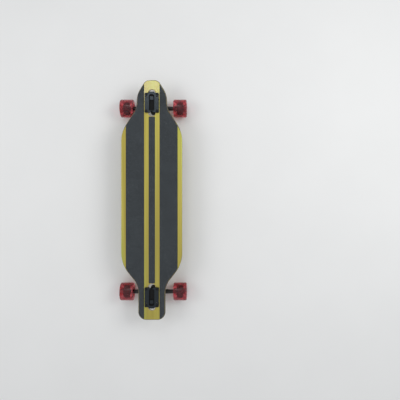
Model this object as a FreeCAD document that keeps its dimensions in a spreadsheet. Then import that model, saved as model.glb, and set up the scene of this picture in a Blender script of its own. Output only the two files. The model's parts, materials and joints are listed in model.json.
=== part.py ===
"""Drop-through longboard with two reverse-kingpin trucks, as a parametric document.

Frame: +X to the nose, +Y to the rider's left, +Z up, origin on the floor under the deck's centre.
Each truck is drawn in its own frame: x outboard, z up, origin on the deck's top at the cutout's centre.
Slanted pieces are drawn in a kingpin frame: z along the kingpin towards its nut, x along the pivot
axis towards the pivot cup, origin in the middle of the hanger's ring.
Each wheel, bearing and axle piece is drawn about z, which its placement turns outboard.
"""

import FreeCAD
import Part
import math
import os
import Sketcher

# Driving sizes, in millimetres and degrees
SIZES = {
    # Deck outline: each corner of the plan has a rounding, and a setback from the corner before it
    "deck_length": 927,
    "deck_width": 235,
    "deck_thickness": 11,
    "deck_edge_radius": 2.5,
    "nose_tip_width": 48,
    "nose_tip_radius": 26,
    "nose_shoulder_width": 115.8,
    "nose_shoulder_setback": 55,
    "nose_shoulder_radius": 85,
    "nose_neck_width": 118,
    "nose_neck_setback": 53.9,
    "nose_neck_radius": 70,
    "nose_flare_setback": 91.9,
    "nose_flare_radius": 130,
    "tail_width": 105,
    "tail_corner_radius": 31,
    "tail_neck_setback": 133.1,
    "tail_neck_radius": 75,
    "tail_flare_setback": 82.9,
    "tail_flare_radius": 130,
    # Concave: flat in the middle, rising to the rails
    "concave_run": 47.5,
    "concave_rise": 7,
    "concave_radius": 300,
    # Grip tape
    "grip_thickness": 1,
    "grip_flange_gap": 2.8,
    "grip_rail_width": 18,
    "grip_strip_width": 24,
    "grip_margin": 0.3,
    # Drop-through cutout and truck bolts
    "truck_setback": 88.5,
    "cutout_length": 102,
    "cutout_middle_width": 49,
    "cutout_clearance": 1,
    "cutout_lobe_radius": 12,
    "cutout_inner_radius": 4,
    "cutout_chamfer": 2,
    "cutout_hole_web": 1.2,
    "bolt_pitch_long": 63.5,
    "bolt_pitch_step": 9.525,
    "bolt_pitch_across": 41.275,
    "bolt_radius": 2.4,
    "bolt_clearance": 0.35,
    "bolt_head_radius": 4.6,
    "bolt_head_height": 3,
    "bolt_head_rounding": 1.2,
    "bolt_socket_width": 3.2,
    "bolt_socket_depth": 1.8,
    "bolt_projection": 1.5,
    "bolt_nut_width": 9.5,
    "bolt_nut_height": 5,
    "bolt_nut_collar": 1.5,
    "nut_collar_step": 0.5,
    "thread_gap": 0.05,
    # Baseplate
    "flange_end_margin": 6.25,
    "flange_side_margin": 6.5625,
    "flange_thickness": 7,
    "flange_corner_radius": 3.5,
    "flange_edge_radius": 1.5,
    "flange_tab_length": 5,
    "flange_tab_width": 24,
    "flange_tab_radius": 4,
    "channel_end_margin": 6,
    "channel_width": 20.5,
    "channel_depth": 5,
    "channel_radius": 6,
    "channel_pad_place": 17,
    "channel_pad_length": 13,
    "channel_pad_width": 14,
    "channel_pad_radius": 2.5,
    "tower_hole_web": 2.8875,
    "tower_back": 32.5,
    "tower_back_drop": 52,
    "tower_back_flat": 5,
    "tower_front": 8,
    "tower_gap": 6.5,
    "boss_radius": 13,
    "boss_thickness": 16,
    # Steering geometry
    "pivot_angle": 44,
    "axle_drop": 63,
    "axle_inset": 7,
    "axle_rake": 4,
    "axle_to_ring": 21,
    # Kingpin and bushings
    "kingpin_radius": 4.76,
    "kingpin_clearance": 0.24,
    "kingpin_head_width": 14.3,
    "kingpin_head_height": 6,
    "kingpin_head_gap": 0.6,
    "kingpin_projection": 2.5,
    "kingpin_nut_width": 14.3,
    "kingpin_nut_height": 11,
    "kingpin_nut_collar": 3,
    "bushing_radius": 12,
    "bushing_boardside_height": 16,
    "bushing_roadside_height": 14,
    "bushing_tip_radius": 9.5,
    "bushing_edge_radius": 1.5,
    "washer_thickness": 2,
    "washer_lip_height": 1.5,
    "washer_lip_wall": 1.3,
    "washer_gap": 1,
    "bushing_seat_clearance": 0.4,
    # Hanger
    "hanger_width": 187,
    "ring_wall": 4.1,
    "ring_web": 7,
    "ring_seat_depth": 2,
    "ring_hole_clearance": 2.44,
    "arm_root_radius": 10,
    "arm_root_width": 40,
    "arm_end_radius": 7.5,
    "wing_width": 92,
    "wing_thickness": 10,
    "nose_root_radius": 9,
    "pivot_nose_radius": 4.8,
    "pivot_nose_reach": 8.8,
    "pivot_nose_rounding": 4.5,
    "pivot_clearance": 0.3,
    "cup_wall": 2.3,
    "cup_housing_wall": 1.6,
    "cup_housing_gap": 1.3,
    # Axle and its hardware
    "axle_radius": 4,
    "axle_clearance": 0.05,
    "axle_projection": 1,
    "axle_bevel": 0.8,
    "axle_nut_width": 13,
    "axle_nut_height": 8,
    "axle_nut_collar": 2,
    "speed_ring_thickness": 0.8,
    "speed_ring_radius": 5.9,
    "spacer_length": 10,
    "spacer_radius": 5.2,
    # Bearing
    "bearing_width": 7,
    "inner_ring_wall": 2,
    "outer_ring_wall": 2,
    "race_depth": 0.484,
    "ball_radius": 1.984,
    "ball_clearance": 0.076,
    "ball_count": 7,
    "cage_wall": 1.2,
    "cage_rail": 0.4,
    "shield_thickness": 0.25,
    "shield_recess": 0.05,
    "shield_gap": 0.3,
    # Wheel
    "wheel_diameter": 70,
    "wheel_width": 52.5,
    "wheel_lip_radius": 4.5,
    "wheel_mouth_radius": 22,
    "wheel_mouth_rounding": 4,
    "core_radius": 14.5,
    "core_width": 25.5,
    "core_crown_radius": 18.6,
    "core_crown_width": 14,
    "core_rib_step": 1.4,
}

# Sizes worked out from the driving ones; k_ marks a place along the kingpin or the pivot axis
WORKED_OUT = {
    "axle_height": "dim.wheel_diameter / 2",
    "deck_top": "geo.axle_height + dim.axle_drop",
    "deck_half": "dim.deck_length / 2",
    "deck_side": "dim.deck_width / 2",
    "concave_kink": "geo.deck_side - dim.concave_run",
    "concave_slope": "atan(dim.concave_rise / dim.concave_run)",
    "truck_x": "geo.deck_half - dim.truck_setback",
    "bolt_hole": "dim.bolt_radius + dim.bolt_clearance",
    "bolt_x": "dim.bolt_pitch_long / 2",
    "bolt_y": "dim.bolt_pitch_across / 2",
    "spare_hole_x": "geo.bolt_x - dim.bolt_pitch_step",
    "flange_half": "geo.bolt_x + dim.flange_end_margin",
    "flange_side": "geo.bolt_y + dim.flange_side_margin",
    "grip_inside": "geo.flange_side + dim.grip_flange_gap",
    "grip_outside": "geo.deck_side - dim.grip_rail_width",
    "lobe_side": "geo.bolt_y - geo.bolt_hole - dim.cutout_chamfer - dim.tower_hole_web",
    "tower_side": "geo.lobe_side - dim.cutout_clearance",
    "tower_rounding": "geo.tower_side - dim.tower_back_flat / 2",
    "cutout_middle": "geo.spare_hole_x - geo.bolt_hole - dim.cutout_chamfer - dim.cutout_hole_web",
    "along": "cos(dim.pivot_angle)",
    "across": "sin(dim.pivot_angle)",
    "ring_x": "dim.axle_to_ring * geo.along - dim.axle_rake * geo.across - dim.axle_inset",
    "ring_z": "dim.axle_to_ring * geo.across + dim.axle_rake * geo.along - dim.axle_drop",
    "ring_hole": "dim.kingpin_radius + dim.ring_hole_clearance",
    "ring_radius": "geo.seat_radius + dim.ring_wall",
    "seat_radius": "dim.bushing_radius + dim.bushing_seat_clearance",
    "washer_radius": "geo.seat_radius + dim.washer_lip_wall",
    "ring_half": "dim.ring_web / 2 + dim.ring_seat_depth",
    "k_board_washer": "-(dim.ring_web / 2 + dim.bushing_boardside_height)",
    "k_boss": "geo.k_board_washer - dim.washer_thickness",
    "k_head": "geo.k_boss - dim.boss_thickness",
    "k_road_washer": "dim.ring_web / 2 + dim.bushing_roadside_height",
    "k_nut": "geo.k_road_washer + dim.washer_thickness",
    "k_tip": "geo.k_nut + dim.kingpin_nut_height + dim.kingpin_projection",
    "kingpin_hole": "dim.kingpin_radius + dim.kingpin_clearance",
    "head_recess": "dim.kingpin_head_width / sqrt(3) + dim.kingpin_head_gap",
    "k_housing": "dim.axle_to_ring + dim.arm_root_radius + dim.cup_housing_gap",
    "k_nose_tip": "dim.axle_to_ring + dim.arm_root_radius + dim.pivot_nose_reach",
    "cup_bore": "dim.pivot_nose_radius + dim.pivot_clearance",
    "cup_radius": "geo.cup_bore + dim.cup_wall",
    "k_cup_floor": "geo.k_nose_tip + dim.pivot_clearance",
    "k_cup_end": "geo.k_cup_floor + dim.cup_wall",
    "housing_radius": "geo.cup_radius + dim.cup_housing_wall",
    "k_housing_end": "geo.k_cup_end + dim.cup_housing_wall",
    "hanger_half": "dim.hanger_width / 2",
    "bearing_from": "geo.hanger_half + dim.speed_ring_thickness",
    "bearing_centre": "dim.spacer_length / 2 + dim.bearing_width / 2",
    "stack_half": "dim.spacer_length / 2 + dim.bearing_width",
    "wheel_y": "geo.bearing_from + geo.stack_half",
    "axle_nut_y": "geo.wheel_y + geo.stack_half + dim.speed_ring_thickness",
    "axle_half": "geo.axle_nut_y + dim.axle_nut_height + dim.axle_projection",
    "wheel_half": "dim.wheel_width / 2",
    "groove_radius": "dim.ball_radius + dim.ball_clearance",
    "inner_land": "dim.axle_radius + dim.inner_ring_wall",
    "ball_pitch": "geo.inner_land + dim.ball_radius - dim.race_depth",
    "outer_land": "geo.ball_pitch + dim.ball_radius - dim.race_depth",
    "bearing_radius": "geo.outer_land + dim.outer_ring_wall",
    "shield_from": "dim.bearing_width / 2 - dim.shield_recess - dim.shield_thickness",
    "cage_half": "geo.groove_radius + dim.cage_rail",
}

# How far a cut or a blank runs past the material that it meets
OVERRUN = 4
# The most of a side that the roundings at its two ends may take up
FULLEST_SIDE = 0.98
# Directions count as the same above this cosine, and places below this distance
ALIGNED = 0.999
STEEP = 0.9
TOUCHING = 0.01

doc = FreeCAD.newDocument("longboard")
sheet = doc.addObject("Spreadsheet::Sheet", "dim")
for row, (alias, size) in enumerate(SIZES.items(), start=1):
    sheet.set(f"A{row}", alias)
    sheet.set(f"B{row}", str(size))
    sheet.setAlias(f"B{row}", alias)
doc.recompute()

geo = doc.addObject("App::VarSet", "geo")
for name in WORKED_OUT:
    geo.addProperty("App::PropertyFloat", name)
for name, formula in WORKED_OUT.items():
    geo.setExpression(name, formula)
reading = doc.addObject("App::VarSet", "reading")
reading.addProperty("App::PropertyFloat", "number")
doc.recompute()

nodes = []


def value(formula):
    """The number that a formula of named sizes gives now."""
    reading.setExpression("number", str(formula))
    reading.recompute()
    return reading.number


def at(x=0, y=0, z=0, axis="0; 0; 1", angle=0):
    """A placement formula: a place, and a turn about an axis."""
    return f"placement(vector({x}; {y}; {z}); rotation(vector({axis}); {angle}))"


def slanted(along, across):
    """The truck-frame (x, z) of a place in the kingpin frame."""
    x = f"geo.ring_x - ({along}) * geo.along + ({across}) * geo.across"
    z = f"geo.ring_z - ({along}) * geo.across - ({across}) * geo.along"
    return x, z


KINGPIN_FRAME = at("geo.ring_x", 0, "geo.ring_z", "0; 1; 0", "180 - dim.pivot_angle")
TRUCK_FRAMES = {
    "front": at("geo.truck_x", 0, "geo.deck_top"),
    "rear": at("-geo.truck_x", 0, "geo.deck_top", angle=180),
}
AXLE_FRAME = at("-dim.axle_inset", 0, "-dim.axle_drop")


def node(thing, name):
    """Names a finished sub-part and lists it for writing."""
    thing.Label = name
    nodes.append(thing)
    return thing


def new_body(name, placement=None):
    """An empty body, placed by a formula."""
    body = doc.addObject("PartDesign::Body", name)
    if placement:
        body.setExpression("Placement", placement)
    return body


def sketch_on(body, plane="XY_Plane", offset=None):
    """An empty sketch on one of the body's own origin planes."""
    sketch = body.newObject("Sketcher::SketchObject", f"{body.Name}_sketch")
    support = next(f for f in body.Origin.OriginFeatures if f.Role == plane)
    sketch.AttachmentSupport = [(support, "")]
    sketch.MapMode = "FlatFace"
    if offset:
        sketch.setExpression("AttachmentOffset", offset)
    return sketch


def settle(sketch, rules):
    """Adds constraints to a sketch together, and ties each size among them to its formula."""
    first = sketch.ConstraintCount
    sketch.addConstraint([constraint for constraint, formula in rules])
    for index, (constraint, formula) in enumerate(rules, start=first):
        if formula is not None:
            sketch.setExpression(f"Constraints[{index}]", str(formula))


def place_rules(geometry, end, x, y):
    """The rules that tie a sketch point to a place, given as two formulas."""
    across = Sketcher.Constraint("DistanceX", -1, 1, geometry, end, value(x))
    up = Sketcher.Constraint("DistanceY", -1, 1, geometry, end, value(y))
    return [(across, x), (up, y)]


def round_corner(before, corner, after, rounding):
    """Where a rounded corner leaves its two sides, and the middle of its arc."""
    back = (before - corner).normalize()
    ahead = (after - corner).normalize()
    half_angle = back.getAngle(ahead) / 2
    reach = rounding / math.tan(half_angle)
    gap = rounding / math.sin(half_angle) - rounding
    return corner + back * reach, corner + (back + ahead).normalize() * gap, corner + ahead * reach


def fitting_shares(places, rounds):
    """How much of each corner's rounding its two sides have room for, as a share of it."""
    count = len(places)
    reaches = []
    for i, rounding in enumerate(rounds):
        entry, _, _ = round_corner(places[i - 1], places[i], places[(i + 1) % count], rounding)
        reaches.append((entry - places[i]).Length)
    shares = []
    for i in range(count):
        fits = [1]
        for j in (i - 1, (i + 1) % count):
            taken = reaches[i] + reaches[j]
            room = (places[j] - places[i]).Length * FULLEST_SIDE
            if taken > room:
                fits.append(room / taken)
        shares.append(min(fits))
    return shares


def draw_outline(sketch, corners):
    """Draws a closed outline through corners (x, y) or (x, y, rounding), given as formulas."""
    count = len(corners)
    places = [FreeCAD.Vector(value(c[0]), value(c[1]), 0) for c in corners]
    wanted = [value(c[2]) if len(c) > 2 else 0 for c in corners]
    shares = fitting_shares(places, wanted)
    rounds = [rounding * share for rounding, share in zip(wanted, shares)]
    bends = [
        round_corner(places[i - 1], places[i], places[(i + 1) % count], rounds[i])
        for i in range(count)
    ]
    sides = [Part.LineSegment(bends[i][2], bends[(i + 1) % count][0]) for i in range(count)]
    lines = sketch.addGeometry(sides, False)
    rules = []
    for i, corner in enumerate(corners):
        before, after = lines[i - 1], lines[i]
        if not rounds[i]:
            rules.append((Sketcher.Constraint("Coincident", before, 2, after, 1), None))
            rules += place_rules(after, 1, corner[0], corner[1])
            continue
        arc = sketch.addGeometry(Part.Arc(*bends[i]), False)
        point = sketch.addGeometry(Part.Point(places[i]), True)
        turn_to = (places[i] - places[i - 1]).cross(places[(i + 1) % count] - places[i]).z
        first, last = (1, 2) if turn_to > 0 else (2, 1)
        rules.append((Sketcher.Constraint("Tangent", before, 2, arc, first), None))
        rules.append((Sketcher.Constraint("Tangent", arc, last, after, 1), None))
        rules.append((Sketcher.Constraint("PointOnObject", point, 1, before), None))
        rules.append((Sketcher.Constraint("PointOnObject", point, 1, after), None))
        rules += place_rules(point, 1, corner[0], corner[1])
        rules.append((Sketcher.Constraint("Radius", arc, rounds[i]), f"({corner[2]}) * {shares[i]}"))
    settle(sketch, rules)


def draw_circle(sketch, radius, x=0, y=0):
    """Draws a circle from formulas of its radius and centre."""
    centre = FreeCAD.Vector(value(x), value(y), 0)
    circle = sketch.addGeometry(Part.Circle(centre, FreeCAD.Vector(0, 0, 1), value(radius)), False)
    sized = (Sketcher.Constraint("Radius", circle, value(radius)), radius)
    settle(sketch, place_rules(circle, 3, x, y) + [sized])


def hexagon(width):
    """The corners of a hexagon with a width across flats."""
    return [(f"{width} / sqrt(3) * cos({60 * i})", f"{width} / sqrt(3) * sin({60 * i})") for i in range(6)]


def pad(sketch, length, symmetric=False):
    """Raises a sketch into material."""
    feature = sketch.getParent().newObject("PartDesign::Pad", "pad")
    feature.Profile = sketch
    feature.SideType = "Symmetric" if symmetric else "One side"
    feature.setExpression("Length", str(length))
    doc.recompute()
    return feature


def cut(sketch, length=None, symmetric=False, reverse=False):
    """Sinks a sketch into the body, to a depth or right through, and makes sure that it cuts."""
    body = sketch.getParent()
    before = body.Shape.Volume
    feature = body.newObject("PartDesign::Pocket", "pocket")
    feature.Profile = sketch
    feature.SideType = "Symmetric" if symmetric else "One side"
    feature.Reversed = reverse
    feature.Type = "Length" if length else "ThroughAll"
    if length:
        feature.setExpression("Length", str(length))
    doc.recompute()
    if body.Shape.Volume >= before:
        raise RuntimeError(f"{sketch.Name} cuts nothing")
    return feature


def turn(sketch, axis="V_Axis"):
    """Turns a sketch into material about one of its own axes."""
    feature = sketch.getParent().newObject("PartDesign::Revolution", "turned")
    feature.Profile = sketch
    feature.ReferenceAxis = (sketch, [axis])
    feature.Angle = 360
    doc.recompute()
    return feature


def turn_groove(sketch, axis="V_Axis"):
    """Turns a sketch out of the body about one of its own axes, and makes sure that it cuts."""
    body = sketch.getParent()
    before = body.Shape.Volume
    feature = body.newObject("PartDesign::Groove", "groove")
    feature.Profile = sketch
    feature.ReferenceAxis = (sketch, [axis])
    feature.Angle = 360
    doc.recompute()
    if body.Shape.Volume >= before:
        raise RuntimeError(f"{sketch.Name} cuts nothing")
    return feature


def edges_where(shape, test):
    """The names of a shape's edges that pass a test."""
    return [f"Edge{i}" for i, edge in enumerate(shape.Edges, start=1) if test(edge)]


def round_edges(base, radius, test):
    """Fillets the edges of a feature that pass a test."""
    feature = base.getParent().newObject("PartDesign::Fillet", "rounded")
    feature.Base = (base, edges_where(base.Shape, test))
    feature.setExpression("Radius", radius)
    doc.recompute()
    return feature


def bevel_edges(base, size, test):
    """Chamfers the edges of a feature that pass a test."""
    feature = base.getParent().newObject("PartDesign::Chamfer", "bevelled")
    feature.Base = (base, edges_where(base.Shape, test))
    feature.setExpression("Size", size)
    doc.recompute()
    return feature


def middle_of(edge):
    """The middle of an edge."""
    return edge.valueAt((edge.FirstParameter + edge.LastParameter) / 2)


def turned_body(name, corners, placement=None, axis="V_Axis"):
    """A body turned from one outline, drawn in its XZ plane."""
    body = new_body(name, placement)
    sketch = sketch_on(body, "XZ_Plane")
    draw_outline(sketch, corners)
    turn(sketch, axis)
    return body


def tube(name, inner, outer, low, high):
    """A plain ring about Z, between two heights."""
    return turned_body(name, [(inner, low), (outer, low), (outer, high), (inner, high)])


def lock_nut(name, width, height, collar, bore, placement=None):
    """A hexagon nut about Z with a round locking collar on top, standing on z = 0."""
    body = new_body(name, placement)
    flats = sketch_on(body)
    draw_outline(flats, hexagon(width))
    pad(flats, f"{height} - {collar}")
    crown = sketch_on(body, offset=at(z=f"{height} - {collar}"))
    draw_circle(crown, f"{width} / 2 - dim.nut_collar_step")
    pad(crown, collar)
    hole = sketch_on(body)
    draw_circle(hole, f"{bore} + dim.thread_gap")
    cut(hole, reverse=True)
    return body


def copies(name, source, placements):
    """One node of separate solids: the source, repeated at each placement."""
    links = []
    for placement in placements:
        link = doc.addObject("App::Link", f"{name}_copy")
        link.LinkedObject = source
        link.setExpression("Placement", placement)
        links.append(link)
    group = doc.addObject("Part::Compound", name)
    group.Links = links
    return node(group, name)


# Deck and grip tape


def deck_plan():
    """The corners of the deck's plan, from the nose along the left side to the tail, and back."""
    nose = "geo.deck_half"
    shoulder = f"{nose} - dim.nose_shoulder_setback"
    nose_neck = f"{shoulder} - dim.nose_neck_setback"
    nose_flare = f"{nose_neck} - dim.nose_flare_setback"
    tail = "-geo.deck_half"
    tail_neck = f"{tail} + dim.tail_neck_setback"
    tail_flare = f"{tail_neck} + dim.tail_flare_setback"
    left = [
        (nose, "dim.nose_tip_width / 2", "dim.nose_tip_radius"),
        (shoulder, "dim.nose_shoulder_width / 2", "dim.nose_shoulder_radius"),
        (nose_neck, "dim.nose_neck_width / 2", "dim.nose_neck_radius"),
        (nose_flare, "geo.deck_side", "dim.nose_flare_radius"),
        (tail_flare, "geo.deck_side", "dim.tail_flare_radius"),
        (tail_neck, "dim.tail_width / 2", "dim.tail_neck_radius"),
        (tail, "dim.tail_width / 2", "dim.tail_corner_radius"),
    ]
    right = [(x, f"-({y})", rounding) for x, y, rounding in reversed(left)]
    return left + right


def concave_line(offset):
    """The corners of the deck's cross-section, at an offset from its top."""
    reach = f"(geo.deck_side + {OVERRUN})"
    kink = f"geo.concave_kink - ({offset}) * tan(geo.concave_slope / 2)"
    flat = f"geo.deck_top + ({offset})"
    climb = f"({reach} - geo.concave_kink) * tan(geo.concave_slope)"
    outer = f"geo.deck_top + {climb} + ({offset}) / cos(geo.concave_slope)"
    rounding = f"dim.concave_radius - ({offset})"
    return [(f"-{reach}", outer), (f"-({kink})", flat, rounding), (kink, flat, rounding), (reach, outer)]


def concave_blank(name, low, high):
    """A body with the deck's concave, between two offsets from its top."""
    body = new_body(name)
    sketch = sketch_on(body, "YZ_Plane")
    draw_outline(sketch, concave_line(low) + concave_line(high)[::-1])
    pad(sketch, f"dim.deck_length + {2 * OVERRUN}", symmetric=True)
    return body


def cutout_plan(end):
    """The corners of one drop-through cutout."""
    lobe_x = "dim.cutout_length / 2"
    lobe_y = "geo.lobe_side"
    middle_x = "geo.cutout_middle"
    middle_y = "dim.cutout_middle_width / 2"
    quarter = [
        (lobe_x, lobe_y, "dim.cutout_lobe_radius"),
        (middle_x, lobe_y, "dim.cutout_inner_radius"),
        (middle_x, middle_y, "dim.cutout_inner_radius"),
    ]
    left = quarter + [(f"-{x}", y, rounding) for x, y, rounding in reversed(quarter)]
    whole = left + [(x, f"-{y}", rounding) for x, y, rounding in reversed(left)]
    return [(f"{end} * geo.truck_x + {x}", y, rounding) for x, y, rounding in whole]


def bolt_places():
    """The truck-frame places of the four bolts."""
    return [(f"{x} * geo.bolt_x", f"{y} * geo.bolt_y") for x in (1, -1) for y in (1, -1)]


def spare_hole_places():
    """The truck-frame places of the two spare holes, for the shorter bolt pattern."""
    return [("geo.spare_hole_x", f"{y} * geo.bolt_y") for y in (1, -1)]


def build_deck():
    """The board: concave, trimmed to its plan, cut through for the trucks, drilled, and its rim rounded."""
    body = concave_blank("deck", "-dim.deck_thickness", "0")
    trim = sketch_on(body)
    x = f"(geo.deck_half + {2 * OVERRUN})"
    y = f"(geo.deck_side + {2 * OVERRUN})"
    draw_outline(trim, [(x, y), (f"-{x}", y), (f"-{x}", f"-{y}"), (x, f"-{y}")])
    draw_outline(trim, deck_plan())
    cut(trim, reverse=True)
    openings = sketch_on(body)
    for end in (1, -1):
        draw_outline(openings, cutout_plan(end))
    opened = cut(openings, reverse=True)

    side = geo.deck_side
    reach_x = value("dim.cutout_length / 2") + OVERRUN
    reach_y = value("dim.cutout_middle_width / 2") + OVERRUN

    def is_level(edge):
        return abs(edge.tangentAt(edge.FirstParameter).z) < STEEP

    def is_at_truck(edge):
        middle = middle_of(edge)
        return abs(abs(middle.x) - geo.truck_x) < reach_x and abs(middle.y) < reach_y

    def is_concave_seam(edge):
        straight = abs(edge.tangentAt(edge.FirstParameter).x) > ALIGNED
        return straight and abs(middle_of(edge).y) < side - OVERRUN

    def is_mouth(edge):
        return is_level(edge) and is_at_truck(edge)

    def is_rim(edge):
        return is_level(edge) and not is_at_truck(edge) and not is_concave_seam(edge)

    bevel_edges(opened, "dim.cutout_chamfer", is_mouth)
    holes = sketch_on(body)
    for end in (1, -1):
        for x, y in bolt_places() + spare_hole_places():
            draw_circle(holes, "geo.bolt_hole", f"{end} * (geo.truck_x + {x})", y)
    drilled = cut(holes, reverse=True)
    round_edges(drilled, "dim.deck_edge_radius", is_rim)
    node(body, "deck")


def build_grip():
    """The three pieces of grip tape: the layer on the deck's top, kept inside the plan and each band."""
    layer = concave_blank("grip_layer", "0", "dim.grip_thickness")
    plan = doc.addObject("Sketcher::SketchObject", "grip_plan")
    draw_outline(plan, deck_plan())
    inset = doc.addObject("Part::Offset2D", "grip_inset")
    inset.Source = plan
    inset.Fill = False
    inset.setExpression("Value", "-(dim.deck_edge_radius + dim.grip_margin)")
    column = doc.addObject("Part::Extrusion", "grip_column")
    column.Base = inset
    column.DirMode = "Custom"
    column.Dir = FreeCAD.Vector(0, 0, 1)
    column.Solid = True
    column.setExpression("LengthFwd", f"geo.deck_top + dim.concave_rise + {2 * OVERRUN}")
    strip_half = "(geo.truck_x - dim.cutout_length / 2 - dim.cutout_chamfer - dim.grip_margin)"
    band_width = "geo.grip_outside - geo.grip_inside"
    regions = {
        "griptape_left": ("geo.deck_half", "geo.grip_inside", band_width),
        "griptape_right": ("geo.deck_half", "-geo.grip_outside", band_width),
        "griptape_center": (strip_half, "-dim.grip_strip_width / 2", "dim.grip_strip_width"),
    }
    for name, (half, start, width) in regions.items():
        region = doc.addObject("Part::Box", f"{name}_region")
        region.setExpression("Length", f"2 * {half}")
        region.setExpression("Width", width)
        region.setExpression("Height", f"geo.deck_top + dim.concave_rise + {2 * OVERRUN}")
        region.setExpression("Placement", at(f"-{half}", start))
        piece = doc.addObject("Part::MultiCommon", name)
        piece.Shapes = [layer, column, region]
        node(piece, name)


# Trucks: the pieces that stay with the deck


def build_baseplate(end):
    """The casting on the deck's top: flange with a channel, tower through the cutout, boss, cup housing."""
    body = new_body(f"{end}_baseplate", TRUCK_FRAMES[end])
    half = "geo.flange_half"
    side = "geo.flange_side"
    tab = "dim.flange_tab_width / 2"
    tip = f"{half} + dim.flange_tab_length"
    left = [
        (tip, tab, "dim.flange_tab_radius"),
        (half, tab),
        (half, side, "dim.flange_corner_radius"),
        (f"-{half}", side, "dim.flange_corner_radius"),
    ]
    flange = sketch_on(body)
    draw_outline(flange, left + [(x, f"-{y}", *rounding) for x, y, *rounding in reversed(left)])
    plate = pad(flange, "dim.flange_thickness")
    top = value("dim.flange_thickness") - TOUCHING
    round_edges(plate, "dim.flange_edge_radius", lambda edge: min(v.Z for v in edge.Vertexes) > top)

    tower = sketch_on(body, "XZ_Plane")
    washer = "geo.washer_radius + dim.washer_gap"
    draw_outline(tower, [
        ("-dim.tower_back", "dim.flange_thickness / 2"),
        ("-dim.tower_back", "-dim.tower_back_drop"),
        slanted("geo.k_housing_end", "-geo.housing_radius"),
        slanted("geo.k_housing_end", "0"),
        slanted("geo.k_housing", "0"),
        slanted("geo.k_housing", "dim.axle_rake - dim.arm_root_radius - dim.tower_gap"),
        slanted(washer, "geo.k_boss"),
        slanted("-dim.boss_radius", "geo.k_boss"),
        ("dim.tower_front", "dim.flange_thickness / 2"),
    ])
    pad(tower, "2 * geo.tower_side", symmetric=True)
    back_corners = sketch_on(body)
    behind = f"-dim.tower_back - {OVERRUN}"
    ahead = f"geo.tower_rounding - dim.tower_back + {OVERRUN}"
    beside = f"(geo.tower_side + {OVERRUN})"
    draw_outline(back_corners, [
        (ahead, beside),
        (behind, beside),
        (behind, f"-{beside}"),
        (ahead, f"-{beside}"),
        (ahead, "-geo.tower_side"),
        ("-dim.tower_back", "-geo.tower_side", "geo.tower_rounding"),
        ("-dim.tower_back", "geo.tower_side", "geo.tower_rounding"),
        (ahead, "geo.tower_side"),
    ])
    cut(back_corners)

    boss_plane = f"{KINGPIN_FRAME} * {at(z='geo.k_boss', axis='1; 0; 0', angle=180)}"
    boss = sketch_on(body, offset=boss_plane)
    draw_circle(boss, "dim.boss_radius")
    pad(boss, "dim.boss_thickness")
    housing_plane = f"{KINGPIN_FRAME} * {at('geo.k_housing', axis='0; 1; 0', angle=90)}"
    housing = sketch_on(body, offset=housing_plane)
    draw_circle(housing, "geo.housing_radius")
    pad(housing, "geo.k_housing_end - geo.k_housing")

    cup_bore = sketch_on(body, offset=housing_plane)
    draw_circle(cup_bore, "geo.cup_radius")
    cut(cup_bore, "geo.k_cup_end - geo.k_housing", reverse=True)
    kingpin_hole = sketch_on(body, offset=boss_plane)
    draw_circle(kingpin_hole, "geo.kingpin_hole")
    cut(kingpin_hole, f"dim.boss_thickness + {OVERRUN}", reverse=True)
    head_plane = f"{KINGPIN_FRAME} * {at(z='geo.k_head', axis='1; 0; 0', angle=180)}"
    recess = sketch_on(body, offset=head_plane)
    draw_circle(recess, "geo.head_recess")
    cut(recess, reverse=True)

    channel = sketch_on(body, offset=at(z="dim.flange_thickness"))
    x = "(geo.flange_half - dim.channel_end_margin)"
    y = "dim.channel_width / 2"
    corners = [(x, y), (f"-{x}", y), (f"-{x}", f"-{y}"), (x, f"-{y}")]
    draw_outline(channel, [(*corner, "dim.channel_radius") for corner in corners])
    near = "dim.channel_pad_place - dim.channel_pad_length / 2"
    far = "dim.channel_pad_place + dim.channel_pad_length / 2"
    y = "dim.channel_pad_width / 2"
    corners = [(far, y), (near, y), (near, f"-{y}"), (far, f"-{y}")]
    draw_outline(channel, [(*corner, "dim.channel_pad_radius") for corner in corners])
    cut(channel, "dim.channel_depth")
    holes = sketch_on(body)
    for x, y in bolt_places() + spare_hole_places():
        draw_circle(holes, "geo.bolt_hole", x, y)
    cut(holes, reverse=True)
    node(body, f"{end}_baseplate")


def build_pivot_cup(end, frame):
    """The soft cup that holds the hanger's pivot nose."""
    mouth = "geo.k_housing"
    floor = "geo.k_cup_floor"
    bottom = "geo.k_cup_end"
    rounding = "dim.pivot_nose_rounding + dim.pivot_clearance"
    body = turned_body(f"{end}_pivot_cup", [
        (mouth, "geo.cup_bore"),
        (mouth, "geo.cup_radius"),
        (bottom, "geo.cup_radius"),
        (bottom, "0"),
        (floor, "0"),
        (floor, "geo.cup_bore", rounding),
    ], frame, "H_Axis")
    node(body, f"{end}_pivot_cup")


def build_kingpin(end, frame):
    """The kingpin, with its hexagon head in the baseplate, and its nut."""
    body = new_body(f"{end}_kingpin", frame)
    head = sketch_on(body, offset=at(z="geo.k_head - dim.kingpin_head_height"))
    draw_outline(head, hexagon("dim.kingpin_head_width"))
    pad(head, "dim.kingpin_head_height")
    shank = sketch_on(body, offset=at(z="geo.k_head"))
    draw_circle(shank, "dim.kingpin_radius")
    pad(shank, "geo.k_tip - geo.k_head")
    node(body, f"{end}_kingpin")
    seat = f"{frame} * {at(z='geo.k_nut')}"
    nut = lock_nut(
        f"{end}_kingpin_nut",
        "dim.kingpin_nut_width",
        "dim.kingpin_nut_height",
        "dim.kingpin_nut_collar",
        "dim.kingpin_radius",
        seat,
    )
    node(nut, f"{end}_kingpin_nut")


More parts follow.
